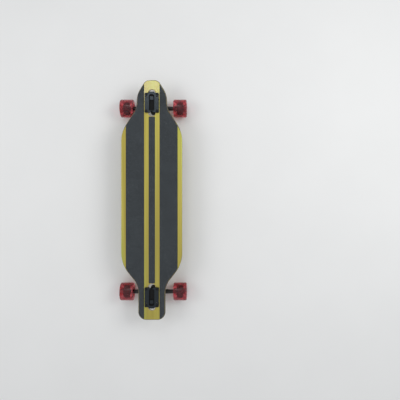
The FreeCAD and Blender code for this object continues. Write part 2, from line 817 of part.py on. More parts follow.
def build_bushings(end, frame, washer):
    """The two urethane bushings and their cup washers."""
    hole = "geo.kingpin_hole"
    outer = "dim.bushing_radius"
    seat = "dim.ring_web / 2"
    rounding = "dim.bushing_edge_radius"
    barrel = turned_body(f"{end}_bushing_boardside", [
        (hole, f"-{seat}"),
        (hole, "geo.k_board_washer"),
        (outer, "geo.k_board_washer", rounding),
        (outer, f"-{seat}", rounding),
    ], frame)
    node(barrel, f"{end}_bushing_boardside")
    cone = turned_body(f"{end}_bushing_roadside", [
        (hole, seat),
        (outer, seat, rounding),
        ("dim.bushing_tip_radius", "geo.k_road_washer", rounding),
        (hole, "geo.k_road_washer"),
    ], frame)
    node(cone, f"{end}_bushing_roadside")
    copies(f"{end}_bushing_washers", washer, [
        f"{frame} * {at(z='geo.k_boss')}",
        f"{frame} * {at(z='geo.k_nut', axis='1; 0; 0', angle=180)}",
    ])


def make_washer():
    """A cup washer about Z, with its lip upwards."""
    hole = "geo.kingpin_hole"
    lip = "dim.washer_thickness + dim.washer_lip_height"
    return turned_body("washer", [
        (hole, "0"),
        ("geo.washer_radius", "0"),
        ("geo.washer_radius", lip),
        ("geo.seat_radius", lip),
        ("geo.seat_radius", "dim.washer_thickness"),
        (hole, "dim.washer_thickness"),
    ])


def make_bolt():
    """A truck bolt about Z, with the underside of its head at z = 0."""
    length = "dim.flange_thickness + dim.deck_thickness + dim.bolt_nut_height + dim.bolt_projection"
    body = turned_body("bolt", [
        ("0", f"-({length})"),
        ("dim.bolt_radius", f"-({length})"),
        ("dim.bolt_radius", "0"),
        ("dim.bolt_head_radius", "0"),
        ("dim.bolt_head_radius", "dim.bolt_head_height", "dim.bolt_head_rounding"),
        ("0", "dim.bolt_head_height"),
    ])
    socket = sketch_on(body, offset=at(z="dim.bolt_head_height"))
    draw_outline(socket, hexagon("dim.bolt_socket_width"))
    cut(socket, "dim.bolt_socket_depth")
    return body


# Trucks: the pieces that lean with the hanger


def build_hanger(end, frame):
    """The hanger: ring for the bushings, two arms round the axle, a wing between, and the pivot nose."""
    body = new_body(f"{end}_hanger", frame)
    axle_x = "dim.axle_to_ring"
    ring = sketch_on(body)
    draw_circle(ring, "geo.ring_radius")
    pad(ring, "2 * geo.ring_half", symmetric=True)
    wing = sketch_on(body)
    root = "geo.seat_radius"
    tip = "dim.wing_width / 2"
    draw_outline(wing, [("0", f"-{root}"), (axle_x, f"-{tip}"), (axle_x, tip), ("0", root)])
    pad(wing, "dim.wing_thickness", symmetric=True)

    arms = sketch_on(body, "YZ_Plane", at(0, "dim.axle_rake", axle_x))
    draw_outline(arms, [
        ("-geo.hanger_half", "0"),
        ("geo.hanger_half", "0"),
        ("geo.hanger_half", "dim.arm_end_radius"),
        ("dim.arm_root_width / 2", "dim.arm_root_radius"),
        ("-dim.arm_root_width / 2", "dim.arm_root_radius"),
        ("-geo.hanger_half", "dim.arm_end_radius"),
    ])
    turn(arms, "H_Axis")
    nose = sketch_on(body, "XZ_Plane")
    draw_outline(nose, [
        (axle_x, "0"),
        ("geo.k_nose_tip", "0"),
        ("geo.k_nose_tip", "dim.pivot_nose_radius", "dim.pivot_nose_rounding"),
        (f"{axle_x} + dim.arm_root_radius", "dim.pivot_nose_radius"),
        (axle_x, "dim.nose_root_radius"),
    ])
    turn(nose, "H_Axis")

    hole = sketch_on(body)
    draw_circle(hole, "geo.ring_hole")
    cut(hole, symmetric=True)
    for side in (1, -1):
        seat = sketch_on(body, offset=at(z=f"{side} * dim.ring_web / 2"))
        draw_circle(seat, "geo.seat_radius")
        cut(seat, reverse=side > 0)
    bore = sketch_on(body, "XZ_Plane")
    draw_circle(bore, "dim.axle_radius + dim.axle_clearance", axle_x, "dim.axle_rake")
    cut(bore, symmetric=True)
    node(body, f"{end}_hanger")


def build_axle(end, frame):
    """The steel axle, with its ends bevelled."""
    long = "geo.axle_half"
    radius = "dim.axle_radius"
    body = turned_body(f"{end}_axle", [
        ("0", f"-{long}"),
        (f"{radius} - dim.axle_bevel", f"-{long}"),
        (radius, f"dim.axle_bevel - {long}"),
        (radius, f"{long} - dim.axle_bevel"),
        (f"{radius} - dim.axle_bevel", long),
        ("0", long),
    ], f"{frame} * {outboard(0, 1)}")
    node(body, f"{end}_axle")


def outboard(distance, side):
    """A place along the axle, with z turned outboard on that side."""
    return at(y=f"{side} * ({distance})", axis="1; 0; 0", angle=-90 * side)


# Wheels and bearings


def make_bearing_ring(name, inner, outer):
    """One ring of a bearing about Z, with its ball groove."""
    half = "dim.bearing_width / 2"
    body = tube(name, inner, outer, f"-{half}", half)
    race = sketch_on(body, "XZ_Plane")
    draw_circle(race, "geo.groove_radius", "geo.ball_pitch")
    turn_groove(race)
    return body


def make_cage():
    """The ring that keeps the balls apart, with a pocket for each."""
    wall = "dim.cage_wall / 2"
    pitch = "geo.ball_pitch"
    body = tube("cage", f"{pitch} - {wall}", f"{pitch} + {wall}", "-geo.cage_half", "geo.cage_half")
    opening = sketch_on(body, "YZ_Plane")
    draw_circle(opening, "geo.groove_radius")
    pocket = cut(opening, reverse=True)
    pattern = body.newObject("PartDesign::PolarPattern", "pockets")
    pattern.Originals = [pocket]
    spin = next(f for f in body.Origin.OriginFeatures if f.Role == "Z_Axis")
    pattern.Axis = (spin, [""])
    pattern.Angle = 360
    pattern.setExpression("Occurrences", "round(dim.ball_count)")
    body.Tip = pattern
    doc.recompute()
    return body


def core_outline():
    """The outer side of the core, where the tyre is cast on, from one face to the other."""
    edge = "dim.core_width / 2"
    crown = "dim.core_crown_width / 2"
    return [
        ("dim.core_radius", f"-{edge}"),
        ("dim.core_crown_radius", f"-{crown}"),
        ("dim.core_crown_radius", crown),
        ("dim.core_radius", edge),
    ]


def build_tyre(name, frame):
    """The urethane tyre, round-lipped, cast on the core."""
    outer = "dim.wheel_diameter / 2"
    side = "geo.wheel_half"
    mouth = "dim.wheel_mouth_radius"
    body = turned_body(name, core_outline() + [
        (mouth, side, "dim.wheel_mouth_rounding"),
        (outer, side, "dim.wheel_lip_radius"),
        (outer, f"-{side}", "dim.wheel_lip_radius"),
        (mouth, f"-{side}", "dim.wheel_mouth_rounding"),
    ], frame)
    node(body, name)


def build_core(name, frame):
    """The hard core, with a bearing seat in each face and a rib between them."""
    seat = "geo.bearing_radius"
    rib = f"{seat} - dim.core_rib_step"
    edge = "dim.core_width / 2"
    shoulder = "dim.spacer_length / 2"
    body = turned_body(name, core_outline() + [
        (seat, edge),
        (seat, shoulder),
        (rib, shoulder),
        (rib, f"-{shoulder}"),
        (seat, f"-{shoulder}"),
        (seat, f"-{edge}"),
    ], frame)
    node(body, name)


def build_wheel(name, end, side, kit):
    """One wheel: tyre, core, and the turning pieces of its two bearings."""
    frame = f"{TRUCK_FRAMES[end]} * {AXLE_FRAME} * {outboard('geo.wheel_y', side)}"
    build_tyre(f"{name}_tyre", frame)
    build_core(f"{name}_core", frame)
    seats = [f"{frame} * {at(z=f'{face} * geo.bearing_centre')}" for face in (1, -1)]
    copies(f"{name}_bearing_outer_rings", kit["outer_ring"], seats)
    copies(f"{name}_bearing_cages", kit["cage"], seats)
    count = round(value("dim.ball_count"))
    turns = [360 * i / count for i in range(count)]
    pockets = [at(f"geo.ball_pitch * cos({a})", f"geo.ball_pitch * sin({a})") for a in turns]
    balls = [f"{seat} * {pocket}" for seat in seats for pocket in pockets]
    copies(f"{name}_bearing_balls", kit["ball"], balls)
    faces = [at(), at(axis="1; 0; 0", angle=180)]
    shields = [f"{seat} * {face}" for seat in seats for face in faces]
    copies(f"{name}_bearing_shields", kit["shield"], shields)


def build_axle_hardware(end, frame, kit):
    """What sits on one axle and leans with it, on both sides: rings, spacers and nuts."""
    sides = (1, -1)
    hanger_end = "geo.hanger_half"
    outer_face = "geo.wheel_y + geo.stack_half"
    rings = [outboard(place, side) for side in sides for place in (hanger_end, outer_face)]
    nuts = [outboard("geo.axle_nut_y", side) for side in sides]
    spacers = [outboard("geo.wheel_y", side) for side in sides]
    inner_rings = [
        outboard(f"geo.wheel_y + {face} * geo.bearing_centre", side) for side in sides for face in (1, -1)
    ]
    groups = {
        "speed_rings": ("speed_ring", rings),
        "axle_nuts": ("axle_nut", nuts),
        "bearing_spacers": ("spacer", spacers),
        "bearing_inner_rings": ("inner_ring", inner_rings),
    }
    for name, (piece, places) in groups.items():
        copies(f"{end}_{name}", kit[piece], [f"{frame} * {place}" for place in places])


def make_kit():
    """One of each small piece that is repeated, drawn about Z."""
    bore = "dim.axle_radius + dim.axle_clearance"
    ball = doc.addObject("Part::Sphere", "ball")
    ball.setExpression("Radius", "dim.ball_radius")
    shield_edges = ("geo.inner_land + dim.shield_gap", "geo.outer_land")
    shield_faces = ("geo.shield_from", "geo.shield_from + dim.shield_thickness")
    half_spacer = "dim.spacer_length / 2"
    axle_nut = ("dim.axle_nut_width", "dim.axle_nut_height", "dim.axle_nut_collar", "dim.axle_radius")
    bolt_nut = ("dim.bolt_nut_width", "dim.bolt_nut_height", "dim.bolt_nut_collar", "dim.bolt_radius")
    return {
        "ball": ball,
        "washer": make_washer(),
        "bolt": make_bolt(),
        "bolt_nut": lock_nut("bolt_nut", *bolt_nut),
        "axle_nut": lock_nut("axle_nut", *axle_nut),
        "speed_ring": tube("speed_ring", bore, "dim.speed_ring_radius", "0", "dim.speed_ring_thickness"),
        "spacer": tube("spacer", bore, "dim.spacer_radius", f"-{half_spacer}", half_spacer),
        "inner_ring": make_bearing_ring("inner_ring", bore, "geo.inner_land"),
        "outer_ring": make_bearing_ring("outer_ring", "geo.outer_land", "geo.bearing_radius"),
        "cage": make_cage(),
        "shield": tube("shield", *shield_edges, *shield_faces),
    }


def build_truck(end, kit):
    """One truck, from its baseplate to its axle nuts."""
    truck = TRUCK_FRAMES[end]
    slant = f"{truck} * {KINGPIN_FRAME}"
    axle = f"{truck} * {AXLE_FRAME}"
    build_baseplate(end)
    build_pivot_cup(end, slant)
    build_kingpin(end, slant)
    build_bushings(end, slant, kit["washer"])
    build_hanger(end, slant)
    build_axle(end, axle)
    build_axle_hardware(end, axle, kit)
    heads = [f"{truck} * {at(x, y, 'dim.flange_thickness')}" for x, y in bolt_places()]
    copies(f"{end}_mounting_bolts", kit["bolt"], heads)
    flip = {"axis": "1; 0; 0", "angle": 180}
    nuts = [f"{truck} * {at(x, y, '-dim.deck_thickness', **flip)}" for x, y in bolt_places()]
    copies(f"{end}_mounting_nuts", kit["bolt_nut"], nuts)


def build_longboard():
    """The whole board, node by node."""
    build_deck()
    build_grip()
    kit = make_kit()
    for end, outward in (("front", 1), ("rear", -1)):
        build_truck(end, kit)
        for side, hand in (("left", outward), ("right", -outward)):
            build_wheel(f"{end}_{side}", end, hand, kit)
    doc.removeObject(reading.Name)
    doc.recompute()


def write_nodes():
    """Checks every object and writes each node's shape to its own file."""
    for thing in doc.Objects:
        if "Invalid" in thing.State or "Error" in thing.State:
            raise RuntimeError(f"{thing.Label} failed: {thing.State}")
    shapes = {thing.Label: Part.getShape(thing) for thing in nodes}
    for name, shape in shapes.items():
        if shape.isNull() or not shape.isValid() or not shape.Solids:
            raise RuntimeError(f"{name} has no valid solid")
    os.makedirs("parts", exist_ok=True)
    for name, shape in shapes.items():
        shape.exportStep(f"parts/{name}.step")
    print(f"{len(shapes)} nodes, {sum(len(shape.Solids) for shape in shapes.values())} solids")


build_longboard()
write_nodes()
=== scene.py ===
"""Looks of a drop-through longboard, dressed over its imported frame.

Everything is in metres in the frame's own axes: +X to the nose, +Y to the rider's left, +Z up,
with the floor at z = 0 and the origin under the deck's centre.
"""

import json
import logging
import math
from dataclasses import dataclass
from enum import Enum
from typing import Any

import bmesh
import bpy
from mathutils import Matrix, Vector

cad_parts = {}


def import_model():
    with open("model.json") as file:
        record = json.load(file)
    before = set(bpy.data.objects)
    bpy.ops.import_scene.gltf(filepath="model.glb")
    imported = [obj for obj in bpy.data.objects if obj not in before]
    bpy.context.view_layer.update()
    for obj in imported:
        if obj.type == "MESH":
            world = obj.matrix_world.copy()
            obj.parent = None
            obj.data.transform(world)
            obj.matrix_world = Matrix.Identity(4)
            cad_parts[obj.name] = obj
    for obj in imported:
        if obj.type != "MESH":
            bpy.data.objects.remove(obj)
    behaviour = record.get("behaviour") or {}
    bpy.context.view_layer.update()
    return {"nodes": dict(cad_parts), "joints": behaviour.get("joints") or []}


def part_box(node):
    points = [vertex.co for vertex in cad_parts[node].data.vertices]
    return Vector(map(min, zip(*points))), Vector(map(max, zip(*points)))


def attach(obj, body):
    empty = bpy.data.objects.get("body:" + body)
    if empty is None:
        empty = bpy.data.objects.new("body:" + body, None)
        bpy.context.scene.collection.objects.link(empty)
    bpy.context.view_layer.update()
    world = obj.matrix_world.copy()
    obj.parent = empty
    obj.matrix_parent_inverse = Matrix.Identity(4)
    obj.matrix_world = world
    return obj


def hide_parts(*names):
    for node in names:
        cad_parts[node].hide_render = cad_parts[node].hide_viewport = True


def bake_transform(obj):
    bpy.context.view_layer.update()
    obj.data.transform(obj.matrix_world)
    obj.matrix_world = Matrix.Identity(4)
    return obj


LOG = logging.getLogger("longboard")
MM = 0.001
# Inputs and output of the mix node, which has one set for colours and one for numbers
MIX_SHARE = 0
COLOUR_A, COLOUR_B, COLOUR_OUT = 6, 7, 2
NUMBER_A, NUMBER_B, NUMBER_OUT = 2, 3, 0
# Steps in a rounded corner of an outline, and the distance in metres under which points are welded
ROUNDING_STEPS = 5
WELD_DISTANCE = 1e-6


class End(Enum):
    """The two ends of the board, with the direction that points outboard along X."""

    FRONT = 1
    REAR = -1

    @property
    def label(self) -> str:
        """The start of the names of this end's pieces."""
        return self.name.lower()


class Side(Enum):
    """The two sides of the board, with the direction that points outboard along Y."""

    LEFT = 1
    RIGHT = -1

    @property
    def label(self) -> str:
        """The part of a piece's name that tells its side."""
        return self.name.lower()


def linear(colour: str) -> tuple[float, float, float, float]:
    """Turns an sRGB hex value into linear light.

    Args:
        colour: The value as it is written in paint charts, such as "#C0B452".

    Returns:
        Red, green, blue and a full alpha.
    """
    channels = [int(colour[i : i + 2], 16) / 255 for i in (1, 3, 5)]
    light = [c / 12.92 if c <= 0.04045 else ((c + 0.055) / 1.055) ** 2.4 for c in channels]
    return (light[0], light[1], light[2], 1.0)


def per_metre(size_mm: float) -> float:
    """The pattern scale that makes one feature of a real size in millimetres."""
    return 1 / (size_mm * MM)


def add_node(
    tree: bpy.types.NodeTree,
    kind: str,
    settings: dict[Any, Any] | None = None,
    links: dict[Any, bpy.types.NodeSocket] | None = None,
) -> bpy.types.Node:
    """Adds one node with its settings and links.

    Args:
        tree: The node tree that gets it.
        kind: The node's type name.
        settings: Values by property name, or by input name or number.
        links: Outputs that feed its inputs, by input name or number.

    Returns:
        The new node.
    """
    node = tree.nodes.new(kind)
    for key, value in (settings or {}).items():
        if isinstance(key, str) and hasattr(node, key):
            setattr(node, key, value)
        else:
            node.inputs[key].default_value = value
    for key, output in (links or {}).items():
        tree.links.new(output, node.inputs[key])
    return node


@dataclass(frozen=True)
class Finish:
    """A material with one shader, on which each kind of finish draws its own pattern."""

    name: str
    colour: str
    roughness: float
    metallic: float = 0.0

    def material(self) -> bpy.types.Material:
        """Makes the material, or finds it if it was made before.

        Returns:
            The material with its pattern drawn.
        """
        found = bpy.data.materials.get(self.name)
        if found:
            return found
        made = bpy.data.materials.new(self.name)
        made.use_nodes = True
        shader = made.node_tree.nodes["Principled BSDF"]
        shader.inputs["Base Color"].default_value = linear(self.colour)
        shader.inputs["Roughness"].default_value = self.roughness
        shader.inputs["Metallic"].default_value = self.metallic
        self.draw(made.node_tree, shader)
        return made

    def draw(self, tree: bpy.types.NodeTree, shader: bpy.types.Node) -> None:
        """Draws the pattern of the finish on its shader."""


@dataclass(frozen=True)
class GrainedFinish(Finish):
    """A finish with soft patches of a second colour and a fine grain that catches the light."""

    shade: str = "#000000"
    patch_mm: float = 30.0
    grain_mm: float = 1.0
    grain_depth_mm: float = 0.05
    roughness_spread: float = 0.1
    grain_strength: float = 0.6

    def draw(self, tree: bpy.types.NodeTree, shader: bpy.types.Node) -> None:
        """Draws patches in the colour and the roughness, and the grain as bump."""
        place = add_node(tree, "ShaderNodeTexCoord").outputs["Object"]
        patches = add_node(
            tree, "ShaderNodeTexNoise", {"Scale": per_metre(self.patch_mm), "Detail": 3.0}, {"Vector": place}
        )
        grain = add_node(
            tree, "ShaderNodeTexNoise", {"Scale": per_metre(self.grain_mm), "Detail": 2.0}, {"Vector": place}
        )
        colour = add_node(
            tree,
            "ShaderNodeMix",
            {"data_type": "RGBA", COLOUR_A: linear(self.shade), COLOUR_B: linear(self.colour)},
            {MIX_SHARE: patches.outputs["Fac"]},
        )
        spread = self.roughness_spread
        roughness = add_node(
            tree,
            "ShaderNodeMapRange",
            {"To Min": self.roughness - spread, "To Max": self.roughness + spread},
            {"Value": patches.outputs["Fac"]},
        )
        bump = add_node(
            tree,
            "ShaderNodeBump",
            {"Strength": self.grain_strength, "Distance": self.grain_depth_mm * MM},
            {"Height": grain.outputs["Fac"]},
        )
        tree.links.new(colour.outputs[COLOUR_OUT], shader.inputs["Base Color"])
        tree.links.new(roughness.outputs["Result"], shader.inputs["Roughness"])
        tree.links.new(bump.outputs["Normal"], shader.inputs["Normal"])


@dataclass(frozen=True)
class RubbedCasting(GrainedFinish):
    """A black casting whose top faces are painted a lighter satin grey, a painted reflection, so that the
    lower faces and the channel, left near-black, read as painted shade.
    """

    # The top faces' lighter grey is a painted reflection; the channel below keeps the dark skin as painted
    # shade
    rubbed: str = "#34393D"
    rubbed_roughness: float = 0.3
    rubbed_metallic: float = 0.85
    rubbed_from_mm: float = 104.0
    rubbed_blend_mm: float = 0.6
    skin_shine: float = 0.2

    def draw(self, tree: bpy.types.NodeTree, shader: bpy.types.Node) -> None:
        """Draws the casting's skin, and over it the painted lighter grey of the top faces."""
        super().draw(tree, shader)
        skin = shader.inputs["Base Color"].links[0].from_socket
        rough = shader.inputs["Roughness"].links[0].from_socket
        place = add_node(tree, "ShaderNodeTexCoord")
        spot = add_node(tree, "ShaderNodeSeparateXYZ", links={0: place.outputs["Object"]})
        # Faces above this height take the painted lighter grey, and those below stay dark as painted shade
        top = add_node(
            tree,
            "ShaderNodeMapRange",
            {
                "From Min": (self.rubbed_from_mm - self.rubbed_blend_mm) * MM,
                "From Max": (self.rubbed_from_mm + self.rubbed_blend_mm) * MM,
            },
            {"Value": spot.outputs["Z"]},
        ).outputs["Result"]
        colour = add_node(
            tree,
            "ShaderNodeMix",
            {"data_type": "RGBA", COLOUR_B: linear(self.rubbed)},
            {MIX_SHARE: top, COLOUR_A: skin},
        )
        roughness = add_node(
            tree,
            "ShaderNodeMix",
            {"data_type": "FLOAT", NUMBER_B: self.rubbed_roughness},
            {MIX_SHARE: top, NUMBER_A: rough},
        )
        metallic = add_node(tree, "ShaderNodeMapRange", {"To Max": self.rubbed_metallic}, {"Value": top})
        tree.links.new(colour.outputs[COLOUR_OUT], shader.inputs["Base Color"])
        tree.links.new(roughness.outputs[NUMBER_OUT], shader.inputs["Roughness"])
        tree.links.new(metallic.outputs["Result"], shader.inputs["Metallic"])
        shader.inputs["Specular IOR Level"].default_value = self.skin_shine


@dataclass(frozen=True)
class CastUrethane(GrainedFinish):
    """Clear-dyed polyurethane, cast and skinned: light goes in, and what lies inside shows dimly."""

    transmission: float = 0.7
    ior: float = 1.5

    def draw(self, tree: bpy.types.NodeTree, shader: bpy.types.Node) -> None:
        """Draws the grain, and lets light through."""
        super().draw(tree, shader)
        shader.inputs["Transmission Weight"].default_value = self.transmission
        shader.inputs["IOR"].default_value = self.ior


@dataclass(frozen=True)
class FloorPaper(GrainedFinish):
    """Plain studio paper, which only its upper side shows, so the board can be looked at from below too."""

    def draw(self, tree: bpy.types.NodeTree, shader: bpy.types.Node) -> None:
        """Draws the grain, and clears the lower side."""
        super().draw(tree, shader)
        side = add_node(tree, "ShaderNodeNewGeometry")
        clear = add_node(tree, "ShaderNodeBsdfTransparent")
        seen = add_node(
            tree,
            "ShaderNodeMixShader",
            links={0: side.outputs["Backfacing"], 1: shader.outputs["BSDF"], 2: clear.outputs["BSDF"]},
        )
        tree.links.new(seen.outputs["Shader"], tree.nodes["Material Output"].inputs["Surface"])


@dataclass(frozen=True)
class GritSheet(Finish):
    """Silicon carbide grit glued on a black sheet: dull and dark, with grains that glint."""

    dark: str = "#24282B"
    pale: str = "#62686C"
    dusty: str = "#393E41"
    # Real grit is about 0.3 mm: it is drawn coarser, so that it shows
    grit_mm: float = 0.9
    grit_depth_mm: float = 0.3
    grit_strength: float = 0.7
    patch_mm: float = 70.0
    # The shares of grains that lie in the shade or glint, and how strongly they do
    shaded_share: float = 0.35
    shading: float = 0.7
    glinting_share: float = 0.1
    glint: float = 0.8

    def draw(self, tree: bpy.types.NodeTree, shader: bpy.types.Node) -> None:
        """Draws dust patches, grains of several greys, and their relief."""
        place = add_node(tree, "ShaderNodeTexCoord").outputs["Object"]
        dust = add_node(
            tree, "ShaderNodeTexNoise", {"Scale": per_metre(self.patch_mm), "Detail": 5.0}, {"Vector": place}
        )
        grains = add_node(tree, "ShaderNodeTexVoronoi", {"Scale": per_metre(self.grit_mm)}, {"Vector": place})
        lottery = add_node(tree, "ShaderNodeSeparateColor", links={0: grains.outputs["Color"]})
        sheet = add_node(
            tree,
            "ShaderNodeMix",
            {"data_type": "RGBA", COLOUR_A: linear(self.colour), COLOUR_B: linear(self.dusty)},
            {MIX_SHARE: dust.outputs["Fac"]},
        )
        shaded = add_node(
            tree,
            "ShaderNodeMapRange",
            {"From Min": self.shaded_share, "From Max": 0.0, "To Max": self.shading},
            {"Value": lottery.outputs["Red"]},
        )
        dim = add_node(
            tree,
            "ShaderNodeMix",
            {"data_type": "RGBA", COLOUR_B: linear(self.dark)},
            {MIX_SHARE: shaded.outputs["Result"], COLOUR_A: sheet.outputs[COLOUR_OUT]},
        )
        glinting = add_node(
            tree,
            "ShaderNodeMapRange",
            {"From Min": 1 - self.glinting_share, "From Max": 1.0, "To Max": self.glint},
            {"Value": lottery.outputs["Green"]},
        )
        colour = add_node(
            tree,
            "ShaderNodeMix",
            {"data_type": "RGBA", COLOUR_B: linear(self.pale)},
            {MIX_SHARE: glinting.outputs["Result"], COLOUR_A: dim.outputs[COLOUR_OUT]},
        )
        bump = add_node(
            tree,
            "ShaderNodeBump",
            {"Strength": self.grit_strength, "Distance": self.grit_depth_mm * MM, "invert": True},
            {"Height": grains.outputs["Distance"]},
        )
        tree.links.new(colour.outputs[COLOUR_OUT], shader.inputs["Base Color"])
        tree.links.new(bump.outputs["Normal"], shader.inputs["Normal"])


@dataclass(frozen=True)
class LacqueredMaple(Finish):
    """Gold metallic lacquer rolled along a maple laminate, whose stained plies show on the rim."""

    deep: str = "#8E8436"
    greenish: str = "#B3B94E"
    brownish: str = "#A8973E"
    ink: str = "#141414"
    stain_dark: str = "#2A2317"
    stain_pale: str = "#544728"
    raw_dark: str = "#8F7F5C"
    raw_pale: str = "#C4B48C"
    streak_length_mm: float = 260.0
    streak_width_mm: float = 2.4
    streak_depth_mm: float = 0.05
    streak_strength: float = 0.12
    # How much glossier the deep streaks are than the finish, and how much duller the pale ones
    streak_gloss: float = 0.06
    streak_dulling: float = 0.1
    # Where the streaks' pattern counts as deep and as pale, and the share of pale gold in the deepest
    streak_deep: float = 0.3
    streak_pale: float = 0.7
    streak_least: float = 0.4
    band_length_mm: float = 900.0
    band_width_mm: float = 38.0
    # Where the bands' pattern begins to take each tint and where it has most of it
    greenish_band: tuple[float, float] = (0.5, 0.68)
    brownish_band: tuple[float, float] = (0.48, 0.32)
    tint_share: float = 0.75
    bare_roughness: float = 0.45
    coat: float = 0.9
    coat_roughness: float = 0.12
    ply_mm: float = 1.22
    print_length_mm: float = 297.0
    print_width_mm: float = 114.0
    print_rings: float = 5.0
    # The bare share of each ring, and how far down a face looks that takes the print
    print_gap: float = 0.42
    print_facing: float = -0.5
    rise_slope: float = 0.1474
    rise_start_mm: float = 70.0
    rise_blend_mm: float = 6.0
    cutout_place_mm: float = 375.0
    cutout_half_length_mm: float = 56.0
    cutout_half_width_mm: float = 34.0
    rail_half_length_mm: float = 265.0
    rail_blend_mm: float = 6.0
    # A face that looks up or down by less than this is bare rim, on the rails and towards the ends
    rail_rim: float = 0.45
    end_rim: float = 0.985

    def draw(self, tree: bpy.types.NodeTree, shader: bpy.types.Node) -> None:
        """Draws the gold, the print under the deck, and the plies on the rim and in the cutouts."""
        place = add_node(tree, "ShaderNodeTexCoord")
        spot = add_node(tree, "ShaderNodeSeparateXYZ", links={0: place.outputs["Object"]})
        facing = add_node(tree, "ShaderNodeSeparateXYZ", links={0: place.outputs["Normal"]})
        along, across = (
            add_node(tree, "ShaderNodeMath", {"operation": "ABSOLUTE"}, {0: spot.outputs[axis]}).outputs[0]
            for axis in ("X", "Y")
        )
        streaks = self.streaks(tree, place.outputs["Object"])
        gold = self.gold(tree, place.outputs["Object"], streaks)
        inked = self.inked(tree, along, across, facing.outputs["Z"])
        rim = self.rim(tree, along, facing.outputs["Z"])
        plies = self.plies(tree, along, across, spot.outputs["Z"])

        printed = add_node(
            tree,
            "ShaderNodeMix",
            {"data_type": "RGBA", COLOUR_B: linear(self.ink)},
            {MIX_SHARE: inked, COLOUR_A: gold},
        ).outputs[COLOUR_OUT]
        colour = add_node(
            tree,
            "ShaderNodeMix",
            {"data_type": "RGBA"},
            {MIX_SHARE: rim, COLOUR_A: printed, COLOUR_B: plies},
        )
        covered = add_node(tree, "ShaderNodeMath", {"operation": "MAXIMUM"}, {0: inked, 1: rim}).outputs[0]
        metallic = add_node(
            tree, "ShaderNodeMapRange", {"To Min": self.metallic, "To Max": 0.0}, {"Value": covered}
        )
        sheen = add_node(
            tree,
            "ShaderNodeMapRange",
            {"To Min": self.roughness - self.streak_gloss, "To Max": self.roughness + self.streak_dulling},
            {"Value": streaks},
        ).outputs["Result"]
        roughness = add_node(
            tree,
            "ShaderNodeMix",
            {"data_type": "FLOAT", NUMBER_B: self.bare_roughness},
            {MIX_SHARE: covered, NUMBER_A: sheen},
        )
        bump = add_node(
            tree,
            "ShaderNodeBump",
            {"Strength": self.streak_strength, "Distance": self.streak_depth_mm * MM},
            {"Height": streaks},
        )
        tree.links.new(colour.outputs[COLOUR_OUT], shader.inputs["Base Color"])
        tree.links.new(metallic.outputs["Result"], shader.inputs["Metallic"])
        tree.links.new(roughness.outputs[NUMBER_OUT], shader.inputs["Roughness"])
        tree.links.new(bump.outputs["Normal"], shader.inputs["Normal"])
        # The clear top coat gives the pale glints over the gold
        shader.inputs["Coat Weight"].default_value = self.coat
        shader.inputs["Coat Roughness"].default_value = self.coat_roughness

    def streaks(self, tree: bpy.types.NodeTree, place: bpy.types.NodeSocket) -> bpy.types.NodeSocket:
        """Draws fine lines along the board, as a roller leaves them.

        Args:
            tree: The deck's node tree.
            place: Where the surface is.

        Returns:
            How pale each line is.
        """
        fine = per_metre(self.streak_width_mm)
        stretched = add_node(
            tree,
            "ShaderNodeMapping",
            {"Scale": (per_metre(self.streak_length_mm), fine, fine)},
            {"Vector": place},
        )
        lines = add_node(
            tree, "ShaderNodeTexNoise", {"Scale": 1.0, "Detail": 4.0}, {"Vector": stretched.outputs[0]}
        )
        return lines.outputs["Fac"]

    def gold(
        self, tree: bpy.types.NodeTree, place: bpy.types.NodeSocket, streaks: bpy.types.NodeSocket
    ) -> bpy.types.NodeSocket:
        """Draws the gold, deeper in its streaks, with broad brownish and greenish bands along the board.

        Args:
            tree: The deck's node tree.
            place: Where the surface is.
            streaks: How pale each line is.

        Returns:
            The colour of the lacquer.
        """
        lines = add_node(
            tree,
            "ShaderNodeMapRange",
            {"From Min": self.streak_deep, "From Max": self.streak_pale, "To Min": self.streak_least},
            {"Value": streaks},
        )
        broad = per_metre(self.band_width_mm)
        stretched = add_node(
            tree,
            "ShaderNodeMapping",
            {"Scale": (per_metre(self.band_length_mm), broad, broad)},
            {"Vector": place},
        )
        bands = add_node(
            tree, "ShaderNodeTexNoise", {"Scale": 1.0, "Detail": 1.0}, {"Vector": stretched.outputs[0]}
        ).outputs["Fac"]
        streaked = add_node(
            tree,
            "ShaderNodeMix",
            {"data_type": "RGBA", COLOUR_A: linear(self.deep), COLOUR_B: linear(self.colour)},
            {MIX_SHARE: lines.outputs["Result"]},
        )
        colour = streaked.outputs[COLOUR_OUT]
        tints = ((self.greenish, self.greenish_band), (self.brownish, self.brownish_band))
        for tint, (start, full) in tints:
            share = add_node(
                tree,
                "ShaderNodeMapRange",
                {"From Min": start, "From Max": full, "To Max": self.tint_share},
                {"Value": bands},
            )
            colour = add_node(
                tree,
                "ShaderNodeMix",
                {"data_type": "RGBA", COLOUR_B: linear(tint)},
                {MIX_SHARE: share.outputs["Result"], COLOUR_A: colour},
            ).outputs[COLOUR_OUT]
        return colour

